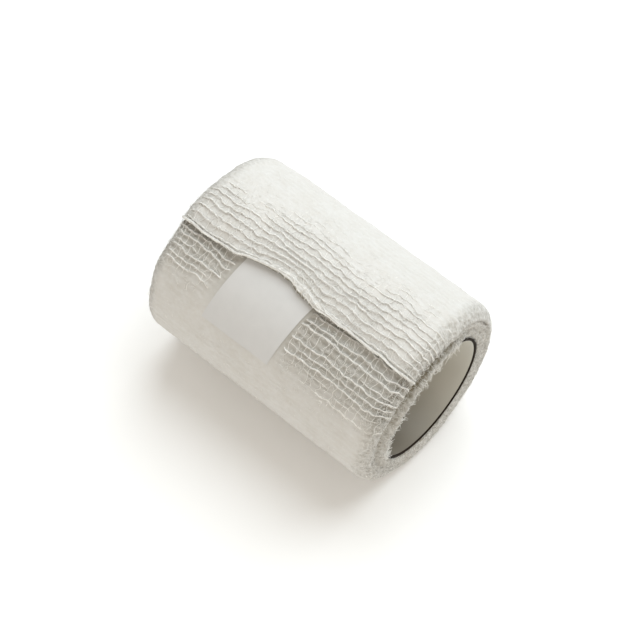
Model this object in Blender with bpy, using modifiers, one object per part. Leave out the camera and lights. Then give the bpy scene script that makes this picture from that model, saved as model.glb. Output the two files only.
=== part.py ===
"""Cohesive gauze bandage roll: a crepe strip wound on a thin tube, its free end lying over a paper slip.

The roll lies on its side along X, on a small flat spot at the origin. Metres, +Z up.
Angles round the roll are in degrees from its top, growing towards the side that faces -Y.
"""
import math

import bmesh
import bpy

# Driving sizes of the wound strip.
STRIP_WIDTH = 0.0750          # across the end faces, at the rounded outer edge
OUTER_RADIUS_LOW = 0.0263     # last turn but one, just below the free edge
FREE_END_THICKNESS = 0.0011
CLEARANCE = 0.0003            # between pieces that touch
FREE_END_CLEARANCE = 0.00045  # above the turn below, so that its ribs' flanks clear too
LAP_STEP = FREE_END_THICKNESS + FREE_END_CLEARANCE   # growth of the radius in one turn
SHOULDER = 0.0038             # rounding of the outer edges
FLAT_SPOT_DEPTH = 0.0003      # how far the roll is pressed flat underneath

# Tube that the strip is wound on.
TUBE_RADIUS = 0.0184
TUBE_WALL = 0.0007
TUBE_LENGTH = 0.0744
TUBE_EDGE = 0.00015
TUBE_SIDES = 96

# Where the last turn starts and where it ends.
ROOT_ANGLE = -75.0
EDGE_ANGLE = 23.0
ROOT_STEP = 0.3               # degrees over which the surface steps down to run under the free end

# Crepe ribs, which run along the roll.
RIB_COUNT = 66
RIB_HEIGHT = 0.0004
COLUMNS_PER_RIB = 3
RIB_UNEVEN = ((0.3, 7, 0.0), (0.2, 17, 40.0))   # (share of the height, waves in a turn, phase)
RIB_WANDER = 0.8              # degrees
RIB_WANDER_LENGTH = 0.057     # of one wave along the roll
RIB_WANDER_TURNS = 3          # of that wave's phase in one turn
RIB_WANDER_SPREAD = 0.045     # half width that the wander fades over
FLAT_FADE_START = 12.0        # degrees from the bottom where the ribs are pressed out
FLAT_FADE_END = 26.0

# Free edge as (position across the strip, angle): it draws back where it crosses the paper slip.
FREE_EDGE = (
    (-0.0335, 24.2),
    (-0.0280, 24.9),
    (-0.0225, 24.1),
    (-0.0180, 23.3),
    (-0.0140, 20.7),
    (-0.0100, 18.6),
    (-0.0060, 17.6),
    (-0.0020, 17.7),
    (0.0020, 19.2),
    (0.0060, 21.4),
    (0.0110, 21.5),
    (0.0170, 21.8),
    (0.0230, 22.3),
    (0.0285, 22.1),
    (0.0335, 22.9),
)
EDGE_SHIFT_RANGE = 24.0       # degrees back from the edge that its unevenness is spread over

# The free end lifts where it crosses the paper slip.
LIFT_OVER_SLIP = 0.0011
LIFT_EXTRA = 0.0009           # more in the middle, where the cloth bulges
LIFT_CENTRE = -0.004
LIFT_EXTRA_SPREAD = 0.009
LIFT_HALF_WIDTH = 0.0130
LIFT_FADE = 0.007
LIFT_REACH = 0.0050

# Paper slip tucked under the free edge.
SLIP_WIDTH = 0.0212
SLIP_LENGTH = 0.0231
SLIP_TUCKED = 0.0038
SLIP_THICKNESS = 0.0003
SLIP_SKEW = 9.0               # degrees that its sides lean
SLIP_CENTRE_X = -0.0043       # where it passes under the free edge
SLIP_SEAT = 0.00028           # height of the tallest ribs that it lies on, above the mean surface
SLIP_CELLS_ACROSS = 8
SLIP_CELLS_ALONG = 14

# End faces: the inner turns stand out as a lip beside the tube, behind a crease.
LIP_RISE = 0.0001
LIP_BULGE = {1: 0.0012, -1: 0.0005}   # on the end that faces +X and on the other
LIP_BULGE_ANGLE = 40.0
LIP_BULGE_SPREAD = 60.0
CREASE_DEPTH = 0.0004
CREASE_BULGE = 0.0007
CREASE_ANGLE = -10.0
CREASE_SPREAD = 45.0
CREASE_OUTER, CREASE_RADIUS, LIP_RADIUS = 0.0217, 0.0209, 0.0202
LIP_INNER_SHARE = 0.6         # of the lip's rise left at the mouth's radius
MOUTH_RADIUS, MOUTH_DEPTH = 0.0193, 0.0012
END_WAVES = ((0.0002, 2, 1.0), (0.00012, 5, 2.0))   # (height, waves in a turn, phase by side)

LENGTH_STATIONS = (-1.0, -0.68, -0.34, 0.0, 0.34, 0.68, 1.0)   # share of the straight part
SHOULDER_ANGLES = (30.0, 60.0, 90.0)
FREE_END_SHOULDER_ANGLES = (18.0, 34.0, 50.0)

WOUND_INNER_RADIUS = TUBE_RADIUS + CLEARANCE
HALF_WIDTH = STRIP_WIDTH / 2
COLUMN_STEP = 360.0 / (RIB_COUNT * COLUMNS_PER_RIB)


def smooth(low, high, value):
    """0 at low, 1 at high, with no corner at either end."""
    share = min(1.0, max(0.0, (value - low) / (high - low)))
    return share * share * (3 - 2 * share)


def bell(value, centre, spread):
    return math.exp(-(((value - centre) / spread) ** 2))


def turn_from(angle, centre):
    """Signed angle from centre, between -180 and 180 degrees."""
    return (angle - centre + 180.0) % 360.0 - 180.0


def lap_radius(angle):
    """Mean radius of the turn that runs under the free end, at this angle."""
    lap = (angle - EDGE_ANGLE) / 360.0
    if angle < EDGE_ANGLE:
        return OUTER_RADIUS_LOW + LAP_STEP * lap
    return OUTER_RADIUS_LOW + LAP_STEP * (lap % 1.0)


AXIS_HEIGHT = lap_radius(180.0) - FLAT_SPOT_DEPTH


def rib(angle):
    """Height of the crepe above the mean surface, uneven from rib to rib and pressed out underneath."""
    uneven = 1.0
    for share, waves, phase in RIB_UNEVEN:
        uneven += share * math.sin(math.radians(waves * angle + phase))
    from_bottom = abs(turn_from(angle, 180.0))
    pressed = smooth(FLAT_FADE_START, FLAT_FADE_END, from_bottom)
    return RIB_HEIGHT / 2 * uneven * pressed * math.cos(math.radians(RIB_COUNT * angle))


def wander(angle, x):
    """Sideways wander of a rib along the roll, in degrees."""
    wave = math.tau * x / RIB_WANDER_LENGTH + math.radians(RIB_WANDER_TURNS * angle)
    return RIB_WANDER * math.sin(wave) * bell(x, 0.0, RIB_WANDER_SPREAD)


def place(angle, x, radius):
    """Point of the roll, not lower than what it rests on."""
    turned = math.radians(angle + wander(angle, x))
    return (x, -radius * math.sin(turned), max(0.0, AXIS_HEIGHT + radius * math.cos(turned)))


def end_reach(side, angle):
    """Distance from the middle to one end face, uneven as hand-wound edges are."""
    reach = HALF_WIDTH
    for height, waves, phase in END_WAVES:
        reach += height * math.sin(waves * math.radians(angle) + phase * side)
    return reach


def end_rows(side, angle, outer):
    """Section of one end, from the shoulder to the mouth beside the tube, as (x, radius)."""
    reach = end_reach(side, angle)
    rows = []
    for bend in SHOULDER_ANGLES:
        turned = math.radians(bend)
        along = reach - SHOULDER + SHOULDER * math.sin(turned)
        rows.append((side * along, outer - SHOULDER + SHOULDER * math.cos(turned)))
    lip = LIP_RISE + LIP_BULGE[side] * bell(turn_from(angle, LIP_BULGE_ANGLE), 0.0, LIP_BULGE_SPREAD)
    crease = CREASE_DEPTH + CREASE_BULGE * bell(turn_from(angle, CREASE_ANGLE), 0.0, CREASE_SPREAD)
    rows.append((side * reach, CREASE_OUTER))
    rows.append((side * (reach - crease), CREASE_RADIUS))
    rows.append((side * (reach + lip), LIP_RADIUS))
    rows.append((side * (reach + lip * LIP_INNER_SHARE), MOUTH_RADIUS))
    rows.append((side * (reach - MOUTH_DEPTH), WOUND_INNER_RADIUS))
    return rows


def wound_section(angle, mean):
    """Closed section of the wound strip at one angle, as (x, radius)."""
    outer = mean + rib(angle)
    straight = HALF_WIDTH - SHOULDER
    section = [(share * straight, outer) for share in LENGTH_STATIONS]
    section += end_rows(1, angle, outer)
    section += reversed(end_rows(-1, angle, outer))
    return section


def wound_columns():
    """(angle, mean radius) of each section, once round, with the step where the last turn lifts off."""
    columns = []
    count = RIB_COUNT * COLUMNS_PER_RIB
    root = round((ROOT_ANGLE - EDGE_ANGLE) % 360.0 / COLUMN_STEP)
    for index in range(count):
        angle = EDGE_ANGLE + index * COLUMN_STEP
        if index <= root:
            columns.append((angle, lap_radius(angle)))
        if index == root:
            angle += ROOT_STEP
        if index >= root:
            columns.append((angle, lap_radius(angle - 360.0)))
    return columns, EDGE_ANGLE + root * COLUMN_STEP - 360.0


def make_wound_strip(columns):
    """Lofts the sections round the roll into one closed body."""
    shape = bmesh.new()
    rings = []
    for angle, mean in columns:
        section = wound_section(angle, mean)
        rings.append([shape.verts.new(place(angle, x, radius)) for x, radius in section])
    for ring, following in zip(rings, rings[1:] + rings[:1]):
        for index in range(len(ring)):
            nearby = (index + 1) % len(ring)
            shape.faces.new((ring[index], ring[nearby], following[nearby], following[index]))
    bmesh.ops.recalc_face_normals(shape, faces=shape.faces)
    return mesh_of(shape, "wound_strip")


def mesh_of(shape, name):
    mesh = bpy.data.meshes.new(name)
    shape.to_mesh(mesh)
    shape.free()
    return mesh


def edge_shift(x):
    """How far the free edge lies past EDGE_ANGLE at this point of the width, in degrees."""
    if x <= FREE_EDGE[0][0]:
        return FREE_EDGE[0][1] - EDGE_ANGLE
    for (left, left_angle), (right, right_angle) in zip(FREE_EDGE, FREE_EDGE[1:]):
        if x <= right:
            share = (x - left) / (right - left)
            return left_angle + (right_angle - left_angle) * share - EDGE_ANGLE
    return FREE_EDGE[-1][1] - EDGE_ANGLE


def lift(x, back):
    """Height that the free end rises over the slip, at a distance back from its edge."""
    beside = abs(x - LIFT_CENTRE)
    across = 1 - smooth(LIFT_HALF_WIDTH, LIFT_HALF_WIDTH + LIFT_FADE, beside)
    along = 1 - smooth(LIFT_REACH, LIFT_REACH + LIFT_FADE, back)
    bulge = LIFT_EXTRA * bell(x, LIFT_CENTRE, LIFT_EXTRA_SPREAD)
    return (LIFT_OVER_SLIP + bulge) * across * along


def free_end_stations(angle):
    """(x, distance inwards from the straight part's radius) across the free end and both shoulders."""
    bend_radius = SHOULDER + FREE_END_CLEARANCE
    ends = {}
    for side in (-1, 1):
        centre = end_reach(side, angle) - SHOULDER
        ends[side] = []
        for bend in FREE_END_SHOULDER_ANGLES:
            turned = math.radians(bend)
            along = side * (centre + bend_radius * math.sin(turned))
            ends[side].append((along, bend_radius * (1 - math.cos(turned))))
    middle = [(x, 0.0) for x, edge_angle in FREE_EDGE]
    return ends[-1][::-1] + middle + ends[1]


def make_free_end(root_angle):
    """The last turn's loose end: its underside lofted just above the turn below, thickened by Solidify."""
    shape = bmesh.new()
    start = root_angle + ROOT_STEP + math.degrees(CLEARANCE / OUTER_RADIUS_LOW)
    count = round((EDGE_ANGLE - start) / COLUMN_STEP)
    rows = []
    for index in range(count + 1):
        base = start + (EDGE_ANGLE - start) * index / count
        near_edge = smooth(EDGE_ANGLE - EDGE_SHIFT_RANGE, EDGE_ANGLE, base)
        row = []
        for x, inwards in free_end_stations(base):
            angle = base + edge_shift(x) * near_edge
            back = math.radians(EDGE_ANGLE + edge_shift(x) - angle) * OUTER_RADIUS_LOW
            radius = lap_radius(angle) + rib(angle) + FREE_END_CLEARANCE + lift(x, back) - inwards
            row.append(shape.verts.new(place(angle, x, radius)))
        rows.append(row)
    join_rows(shape, rows)
    return thickened("free_end", mesh_of(shape, "free_end"), FREE_END_THICKNESS)


def make_slip():
    """The paper slip, curved round the roll on the crests of the ribs."""
    shape = bmesh.new()
    lean = math.tan(math.radians(SLIP_SKEW))
    rows = []
    for along in range(SLIP_CELLS_ALONG + 1):
        down = -SLIP_TUCKED + SLIP_LENGTH * along / SLIP_CELLS_ALONG
        row = []
        for across in range(SLIP_CELLS_ACROSS + 1):
            x = SLIP_CENTRE_X + SLIP_WIDTH * (across / SLIP_CELLS_ACROSS - 0.5) - lean * down
            angle = EDGE_ANGLE + math.degrees(down / OUTER_RADIUS_LOW)
            radius = OUTER_RADIUS_LOW + LAP_STEP * (angle - EDGE_ANGLE) / 360.0
            radius += SLIP_SEAT + CLEARANCE
            turned = math.radians(angle)
            point = (x, -radius * math.sin(turned), AXIS_HEIGHT + radius * math.cos(turned))
            row.append(shape.verts.new(point))
        rows.append(row)
    join_rows(shape, rows)
    return thickened("paper_slip", mesh_of(shape, "paper_slip"), SLIP_THICKNESS)


def join_rows(shape, rows):
    """Faces between rows of points, facing away from the roll's axis."""
    for row, following in zip(rows, rows[1:]):
        for index in range(len(row) - 1):
            shape.faces.new((row[index], following[index], following[index + 1], row[index + 1]))


def thickened(name, mesh, thickness):
    """An object of an open surface, with Solidify growing outwards from it."""
    piece = bpy.data.objects.new(name, mesh)
    shell = piece.modifiers.new("Thickness", "SOLIDIFY")
    shell.thickness = thickness
    shell.offset = 1.0
    return piece


def make_tube():
    """The winding tube: its wall's section turned about the roll's axis."""
    shape = bmesh.new()
    half, inner = TUBE_LENGTH / 2, TUBE_RADIUS - TUBE_WALL
    section = []
    for side in (1, -1):
        corners = [
            (half - TUBE_EDGE, TUBE_RADIUS),
            (half, TUBE_RADIUS - TUBE_EDGE),
            (half, inner + TUBE_EDGE),
            (half - TUBE_EDGE, inner),
        ]
        section += [(side * x, radius) for x, radius in corners][::side]
    verts = [shape.verts.new((x, 0.0, radius)) for x, radius in section]
    for vert, following in zip(verts, verts[1:] + verts[:1]):
        shape.edges.new((vert, following))
    piece = bpy.data.objects.new("core_tube", mesh_of(shape, "core_tube"))
    turn = piece.modifiers.new("Turn", "SCREW")
    turn.axis = "X"
    turn.use_normal_flip = True
    turn.steps = turn.render_steps = TUBE_SIDES
    turn.use_merge_vertices = True
    turn.merge_threshold = 0.00002
    piece.location = (0.0, 0.0, AXIS_HEIGHT)
    return piece


def finish(name, colour, roughness):
    material = bpy.data.materials.new(name)
    material.use_nodes = True
    shader = material.node_tree.nodes["Principled BSDF"]
    shader.inputs["Base Color"].default_value = (*colour, 1.0)
    shader.inputs["Roughness"].default_value = roughness
    shader.inputs["Metallic"].default_value = 0.0
    return material


def add_piece(piece, collection, material):
    piece.data.materials.append(material)
    piece.data.shade_smooth()
    piece.data.set_sharp_from_angle(angle=math.radians(40))
    collection.objects.link(piece)


def main():
    for old in list(bpy.data.objects):
        bpy.data.objects.remove(old)
    collection = bpy.data.collections.new("Gauze_Roll")
    bpy.context.scene.collection.children.link(collection)
    gauze = finish("white_crepe", (0.86, 0.85, 0.82), 0.9)
    paper = finish("plain_paper", (0.88, 0.88, 0.87), 0.6)
    tube = finish("pale_tube", (0.72, 0.71, 0.67), 0.5)
    columns, root_angle = wound_columns()
    wound = bpy.data.objects.new("wound_strip", make_wound_strip(columns))
    add_piece(wound, collection, gauze)
    add_piece(make_free_end(root_angle), collection, gauze)
    add_piece(make_slip(), collection, paper)
    add_piece(make_tube(), collection, tube)


main()
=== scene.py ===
"""Looks of the gauze bandage roll: crepe gauze wound on a thin tube, its free end lapped over a paper slip.

Lengths are in metres. Angles are in degrees round the roll's axis, from its top towards -Y.
"""

import math

import bpy
import numpy as np
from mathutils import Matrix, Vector, noise


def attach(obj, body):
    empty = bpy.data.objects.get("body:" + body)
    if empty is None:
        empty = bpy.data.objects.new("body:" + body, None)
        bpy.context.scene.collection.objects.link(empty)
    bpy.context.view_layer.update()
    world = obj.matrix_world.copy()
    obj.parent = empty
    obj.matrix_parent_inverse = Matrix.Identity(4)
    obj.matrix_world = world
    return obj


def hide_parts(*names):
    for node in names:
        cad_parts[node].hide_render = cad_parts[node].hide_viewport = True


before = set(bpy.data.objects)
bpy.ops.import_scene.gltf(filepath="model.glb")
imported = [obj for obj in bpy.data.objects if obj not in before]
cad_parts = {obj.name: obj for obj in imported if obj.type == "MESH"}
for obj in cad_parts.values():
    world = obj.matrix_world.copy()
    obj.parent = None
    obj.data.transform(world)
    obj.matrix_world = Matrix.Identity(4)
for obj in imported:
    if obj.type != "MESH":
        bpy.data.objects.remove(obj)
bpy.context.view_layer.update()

# The tube: a thin pale plastic liner inside a near-black wrap, which paints the shade in the gap between the
# tube and the winding.
# The liner stops a little short of the wrap, whose end shows as a fine ring of painted shade at the mouth.
AXIS_HEIGHT = 0.02668
TUBE_HALF_LENGTH = 0.0372
TUBE_SIDES = 192
LINER_RADII, LINER_RIM, LINER_SETBACK = (0.0177, 0.0179), 0.00006, 0.00035
WRAP_RADII, WRAP_RIM = (0.01792, 0.01862), 0.00008
CRISP_FROM = math.radians(50)  # an edge that bends by more than this stays sharp
# The liner's painted light and shade, darker low down and towards -Y: its share at the least, how much more
# for each metre towards +Y and up, and in blots.
LINER_LIGHT_LEAST, LINER_LIGHT_ACROSS, LINER_LIGHT_UP, LINER_LIGHT_BLOTS = 0.05, 22.0, 15.5, 0.12
LINER_SHADED_AND_LIT_TONES = (0.155, 0.134, 0.102, 1.0), (0.64, 0.625, 0.56, 1.0)
# Near-black tones that paint the shade of the gap between the tube and the winding.
GAP_SHADE_TONES = (0.006, 0.004, 0.002, 1.0), (0.03, 0.019, 0.01, 1.0)


class Shade:
    """One output of a material's nodes. Arithmetic on it adds Math nodes."""

    def __init__(self, finish, socket):
        self.finish = finish
        self.socket = socket

    def _math(self, operation, first, second):
        return self.finish.node("ShaderNodeMath", {"operation": operation}, {0: first, 1: second})

    def __add__(self, other):
        return self._math("ADD", self, other)

    __radd__ = __add__

    def __sub__(self, other):
        return self._math("SUBTRACT", self, other)

    def __rsub__(self, other):
        return self._math("SUBTRACT", other, self)

    def __mul__(self, other):
        return self._math("MULTIPLY", self, other)

    __rmul__ = __mul__


class Finish:
    """A material round one Principled shader, and the one way that a node is added to it."""

    def __init__(self, name, **fixed):
        self.material = bpy.data.materials.new(name)
        self.material.use_nodes = True
        self.tree = self.material.node_tree
        self.shader = self.tree.nodes["Principled BSDF"]
        for socket, value in fixed.items():
            self.shade(socket, value)

    def feed(self, socket, value):
        if isinstance(value, Shade):
            self.tree.links.new(value.socket, socket)
        else:
            socket.default_value = value

    def node(self, kind, settings, sockets, output=0):
        made = self.tree.nodes.new(kind)
        for name, value in settings.items():
            setattr(made, name, value)
        for name, value in sockets.items():
            self.feed(made.inputs[name], value)
        return Shade(self, made.outputs[output])

    def shade(self, socket, value):
        self.feed(self.shader.inputs[socket.replace("_", " ")], value)

    def speckle(self, size, detail=2.0, contrast=1.0):
        """Soft noise round 0.5 whose blots are about size across."""
        place = self.node("ShaderNodeTexCoord", {}, {}, "Object")
        sockets = {"Vector": place, "Scale": 1 / size, "Detail": detail}
        blots = self.node("ShaderNodeTexNoise", {}, sockets, "Fac")
        return blots if contrast == 1.0 else contrast * (blots - 0.5) + 0.5

    def stored(self, name):
        """The shares that add_shares stored at a piece's points."""
        return self.node("ShaderNodeAttribute", {"attribute_name": name}, {}, "Fac")

    def between(self, share, first, second):
        """A colour from first to second as share goes from 0 to 1."""
        factor, low, high, result = 0, 6, 7, 2  # the Mix node's sockets for colours
        sockets = {factor: share, low: first, high: second}
        return self.node("ShaderNodeMix", {"data_type": "RGBA"}, sockets, result)

    def bumped(self, height, depth, strength=1.0):
        self.shade("Normal", self.node("ShaderNodeBump", {}, {
            "Height": height, "Distance": depth, "Strength": strength,
        }))


def ring_faces(rows, columns):
    """Quads of a body whose rows and columns both close on themselves."""
    row, column = np.meshgrid(np.arange(rows), np.arange(columns), indexing="ij")
    beside = (column + 1) % columns
    here, following = row * columns, (row + 1) % rows * columns
    corners = (here + column, here + beside, following + beside, following + column)
    return np.stack(corners, axis=-1).reshape(-1, 4)


def piece_of(name, verts, faces, finish, slot):
    mesh = bpy.data.meshes.new(name)
    mesh.from_pydata(np.asarray(verts).tolist(), [], faces if isinstance(faces, list) else faces.tolist())
    mesh.shade_smooth()
    mesh.materials.append(finish.material)
    piece = bpy.data.objects.new(name, mesh)
    bpy.context.scene.collection.objects.link(piece)
    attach(piece, "root")
    return piece


def turned_wall(name, half, inner, outer, rim, finish):
    """A wall turned about the roll's axis, with both rims softened."""
    corners = ((half - rim, outer), (half, outer - rim), (half, inner + rim), (half - rim, inner))
    section = list(corners) + [(-x, radius) for x, radius in reversed(corners)]
    turns = np.linspace(0.0, math.tau, TUBE_SIDES, endpoint=False)
    rings = [[(x, radius * math.sin(turn), AXIS_HEIGHT + radius * math.cos(turn)) for x, radius in section]
             for turn in turns]
    faces = ring_faces(TUBE_SIDES, len(section))
    piece = piece_of(name, np.array(rings).reshape(-1, 3), faces, finish, "tube")
    piece.data.set_sharp_from_angle(angle=CRISP_FROM)
    return piece


liner_finish = Finish("tube_inside", Roughness=0.5, Specular_IOR_Level=0.4)
wall_place = liner_finish.node("ShaderNodeTexCoord", {}, {}, "Object")
across_wall = liner_finish.node("ShaderNodeSeparateXYZ", {}, {"Vector": wall_place}, "Y")
up_wall = liner_finish.node("ShaderNodeSeparateXYZ", {}, {"Vector": wall_place}, "Z")
# Painted light and shade: the liner's inside is lighter towards +Y and up and darker below, with blots.
liner_painted_light = LINER_LIGHT_LEAST + LINER_LIGHT_ACROSS * across_wall + LINER_LIGHT_UP * up_wall
liner_painted_light = liner_painted_light + LINER_LIGHT_BLOTS * liner_finish.speckle(0.02)
liner_finish.shade("Base_Color", liner_finish.between(liner_painted_light, *LINER_SHADED_AND_LIT_TONES))
liner_finish.bumped(liner_finish.speckle(0.0006, 3.0), 0.00002, 0.3)
liner = turned_wall("tube_liner", TUBE_HALF_LENGTH - LINER_SETBACK, *LINER_RADII, LINER_RIM, liner_finish)
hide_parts("core_tube")

# Painted shade: the wrap's near-black colour, in uneven blots, stands in for the shadowed gap at the mouth.
gap_shade_finish = Finish("tube_gap_shade_wrap", Roughness=0.85, Specular_IOR_Level=0.2)
gap_shade_blots = gap_shade_finish.speckle(0.0015, 3.0)
gap_shade_finish.shade("Base_Color", gap_shade_finish.between(gap_shade_blots, *GAP_SHADE_TONES))
turned_wall("tube_gap_shade_wrap", TUBE_HALF_LENGTH, *WRAP_RADII, WRAP_RIM, gap_shade_finish)

# The wound turns: a strip of open crepe gauze, cotton on stretchy threads, wound tight on the tube.
# Its outer turn is drawn in at both shoulders, and the edges of the turns below make the end faces.
# This piece is the felted mass that shows through the open weave of the outer turn.
HALF_WIDTH = 0.0375
SHOULDER = 0.0038
STRAIGHT = HALF_WIDTH - SHOULDER
ROUNDED = STRAIGHT + SHOULDER * math.pi / 2  # where the shoulder has turned into the end face
FACE_FROM = STRAIGHT + 0.002  # where the weave starts to give way to the brushed end face
OUTER_RADIUS_LOW = 0.0263  # at the free edge's angle, one turn below it
LAP_STEP = 0.00155
EDGE_ANGLE = 23.0
REST_HEIGHT = 0.00002
# Where the roll has slumped a little, as (angle, spread, where along it that starts and is full, depth).
# The first is full all along it.
SLUMPS = (
    (-62.0, 42.0, 1.0, 0.9, 0.00035),
    (-38.0, 34.0, -0.022, -0.038, 0.0009),
    (38.0, 24.0, -0.026, -0.037, 0.0006),
)
END_SHORT = 0.0002  # how far an end face stays inside the strip's width
END_WAVES = ((0.0002, 2, 1.0), (0.00012, 5, 2.0))  # (height, waves in a turn, phase by side)
END_ROUGH, END_ROUGH_SIZE = 0.0005, 0.009
END_SPOT, MOUTH_SPOT = 0.05, 0.03  # where the noise for an end face and its mouth is read
RELIEF_BEND = (0.9, 1.5)  # how far round the shoulder the forms of an end face set in, in radians
MOUTH_RADIUS = 0.0188
MOUTH_RAGGED, MOUTH_TUFTS = 0.00016, 0.0005  # all round, and more on the camera's side
OVERHANG, OVERHANG_ANGLE, OVERHANG_SPREAD = 0.00085, 48.0, 66.0
# Free edge as (position across the strip, angle).
FREE_EDGE = np.array((
    (-0.0335, 24.2), (-0.028, 24.9), (-0.0225, 24.1), (-0.018, 23.3), (-0.014, 20.7),
    (-0.01, 18.6), (-0.006, 17.6), (-0.002, 17.7), (0.002, 19.2), (0.006, 21.4),
    (0.011, 21.5), (0.017, 21.8), (0.023, 22.3), (0.0285, 22.1), (0.0335, 22.9),
))
EDGE_SHIFT_RANGE = 24.0
LIFT_OVER_SLIP, LIFT_CENTRE = 0.0001, -0.004
LIFT_HALF_WIDTH, LIFT_FADE, LIFT_REACH = 0.013, 0.007, 0.005
EDGE_SETTLE, EDGE_SETTLE_REACH = 0.0005, 0.004


def smooth(low, high, value):
    """0 at low, 1 at high, with no corner at either end."""
    share = np.clip((value - low) / (high - low), 0.0, 1.0)
    return share * share * (3 - 2 * share)


def bell(value, centre, spread):
    return np.exp(-(((value - centre) / spread) ** 2))


def turn_from(angle, centre):
    return (angle - centre + 180.0) % 360.0 - 180.0


def crinkle(points, size, seed):
    """Smooth noise between about -1 and 1 at each point, with bumps about size across."""
    spots = (points / size + 11.37 * seed).reshape(-1, 3)
    return np.array([noise.noise(spot) for spot in spots.tolist()]).reshape(points.shape[:-1])


def crinkles(points, waves, later=0):
    """Sum of crinkles, given as (height, size, seed), with later seeds for a second set."""
    return sum(height * crinkle(points, size, seed + later) for height, size, seed in waves)


def nominal(angle, across):
    """A point for crinkle to read, close to where the cloth lies."""
    turned = np.radians(angle)
    return np.stack([across, -OUTER_RADIUS_LOW * np.sin(turned), OUTER_RADIUS_LOW * np.cos(turned)], axis=-1)


def spiral_radius(angle):
    """Radius of the outer turn. Above 360 it is the free end, and below 23 it is what runs under it."""
    return OUTER_RADIUS_LOW + LAP_STEP * (angle - EDGE_ANGLE) / 360.0


def mouth_radius(side, angle):
    """Radius where an end face stops at the tube. On the camera's side tufts hang in over the mouth."""
    near = bell(turn_from(angle, OVERHANG_ANGLE), 0.0, OVERHANG_SPREAD)
    spot = nominal(angle, side * MOUTH_SPOT + 0.0 * angle)
    ragged = MOUTH_RAGGED * crinkle(spot, 0.0028, 6)
    tufts = MOUTH_TUFTS * crinkle(spot, 0.002, 7) - OVERHANG
    return MOUTH_RADIUS + ragged + np.where(side > 0, tufts * near, 0.0)


def end_reach(side, angle):
    """Distance from the middle to an end face, uneven as wound edges are."""
    rough = END_ROUGH * crinkle(nominal(angle, side * END_SPOT), END_ROUGH_SIZE, 5)
    reach = HALF_WIDTH - END_SHORT + rough
    for height, waves, phase in END_WAVES:
        reach = reach + height * np.sin(waves * np.radians(angle) + phase * side)
    return reach


# How an end face stands out or falls back, as (angle, spread in degrees, radius, spread, height).
OPEN_END_RELIEF = (
    (50.0, 62.0, 0.0195, 0.0011, 0.0017),  # collar of inner turns on the camera's side
    (-4.0, 52.0, 0.0212, 0.001, -0.0016),  # crease behind it
    (80.0, 30.0, 0.0216, 0.001, -0.0006),
    (-40.0, 75.0, 0.0238, 0.0012, 0.0005),  # puffed rim
    (205.0, 95.0, 0.0193, 0.001, -0.0007),  # the far side falls back to the tube
    (180.0, 60.0, 0.0228, 0.002, -0.0004),
)
FAR_END_RELIEF = (
    (38.0, 26.0, 0.0232, 0.0022, -0.0007),
    (60.0, 70.0, 0.0205, 0.0012, 0.0005),
    (250.0, 60.0, 0.0215, 0.001, -0.001),
    (120.0, 180.0, 0.019, 0.0008, -0.0005),
)


# Painted shade on the end faces where they lie in the dark between the turns, listed in the same way, with a
# share of painted shade for the height.
OPEN_END_SHADE = (
    (2.0, 36.0, 0.0207, 0.0008, 1.0),
    (75.0, 50.0, 0.021, 0.0008, 0.25),
    (200.0, 100.0, 0.0192, 0.0006, 0.45),
)
FAR_END_SHADE = (
    (250.0, 60.0, 0.0213, 0.0008, 0.7),
    (90.0, 120.0, 0.0192, 0.0006, 0.5),
)


def formed(side, angle, radius, open_forms, far_forms):
    """Sum of the forms on an end face."""
    total = np.zeros_like(radius)
    for face, forms in ((1, open_forms), (-1, far_forms)):
        for centre, spread, middle, width, height in forms:
            form = height * bell(turn_from(angle, centre), 0.0, spread) * bell(radius, middle, width)
            total = total + np.where(side == face, form, 0.0)
    return total


def slump(angle, x):
    sunk = 0.0
    for centre, spread, start, full, depth in SLUMPS:
        sunk = sunk + depth * bell(turn_from(angle, centre), 0.0, spread) * smooth(start, full, x)
    return sunk


def edge_shift(x):
    return np.interp(x, FREE_EDGE[:, 0], FREE_EDGE[:, 1]) - EDGE_ANGLE


def lift(x, back):
    """How far the free end rises over the slip and settles beside it, at a distance back from its edge."""
    over_slip = 1 - smooth(LIFT_HALF_WIDTH, LIFT_HALF_WIDTH + LIFT_FADE, np.abs(x - LIFT_CENTRE))
    along = 1 - smooth(LIFT_REACH, LIFT_REACH + LIFT_FADE, back)
    settled = EDGE_SETTLE * (1 - over_slip) * (1 - smooth(0.0, EDGE_SETTLE_REACH, back))
    return LIFT_OVER_SLIP * over_slip * along - settled


def on_cloth(angle, across, height):
    """Points above or below the outer turn, over both shoulders and down the end faces."""
    side = np.where(across < 0, -1.0, 1.0)
    reach = end_reach(side, angle)
    past = np.abs(across) - STRAIGHT
    bend = np.clip(past / SHOULDER, 0.0, math.pi / 2)
    down = np.maximum(0.0, past - SHOULDER * math.pi / 2)
    on_straight = np.abs(across) / STRAIGHT * (reach - SHOULDER)
    along = np.where(past < 0, on_straight, reach - SHOULDER * (1 - np.sin(bend)))
    x = side * along
    near_edge = smooth(EDGE_ANGLE - EDGE_SHIFT_RANGE, EDGE_ANGLE, angle - 360.0)
    shifted = angle + edge_shift(x) * near_edge
    back = np.radians(EDGE_ANGLE + edge_shift(x) - shifted + 360.0) * OUTER_RADIUS_LOW
    radius = spiral_radius(angle) - slump(shifted, x) - SHOULDER * (1 - np.cos(bend)) - down + lift(x, back)
    radius = np.maximum(radius, mouth_radius(side, angle))
    relief = formed(side, angle, radius, OPEN_END_RELIEF, FAR_END_RELIEF)
    x = x + side * (relief * smooth(*RELIEF_BEND, bend) + height * np.sin(bend))
    radius = radius + height * np.cos(bend)
    turned = np.radians(shifted)
    z = AXIS_HEIGHT + radius * np.cos(turned)
    return np.stack([x, -radius * np.sin(turned), np.maximum(z, REST_HEIGHT)], axis=-1)


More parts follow.
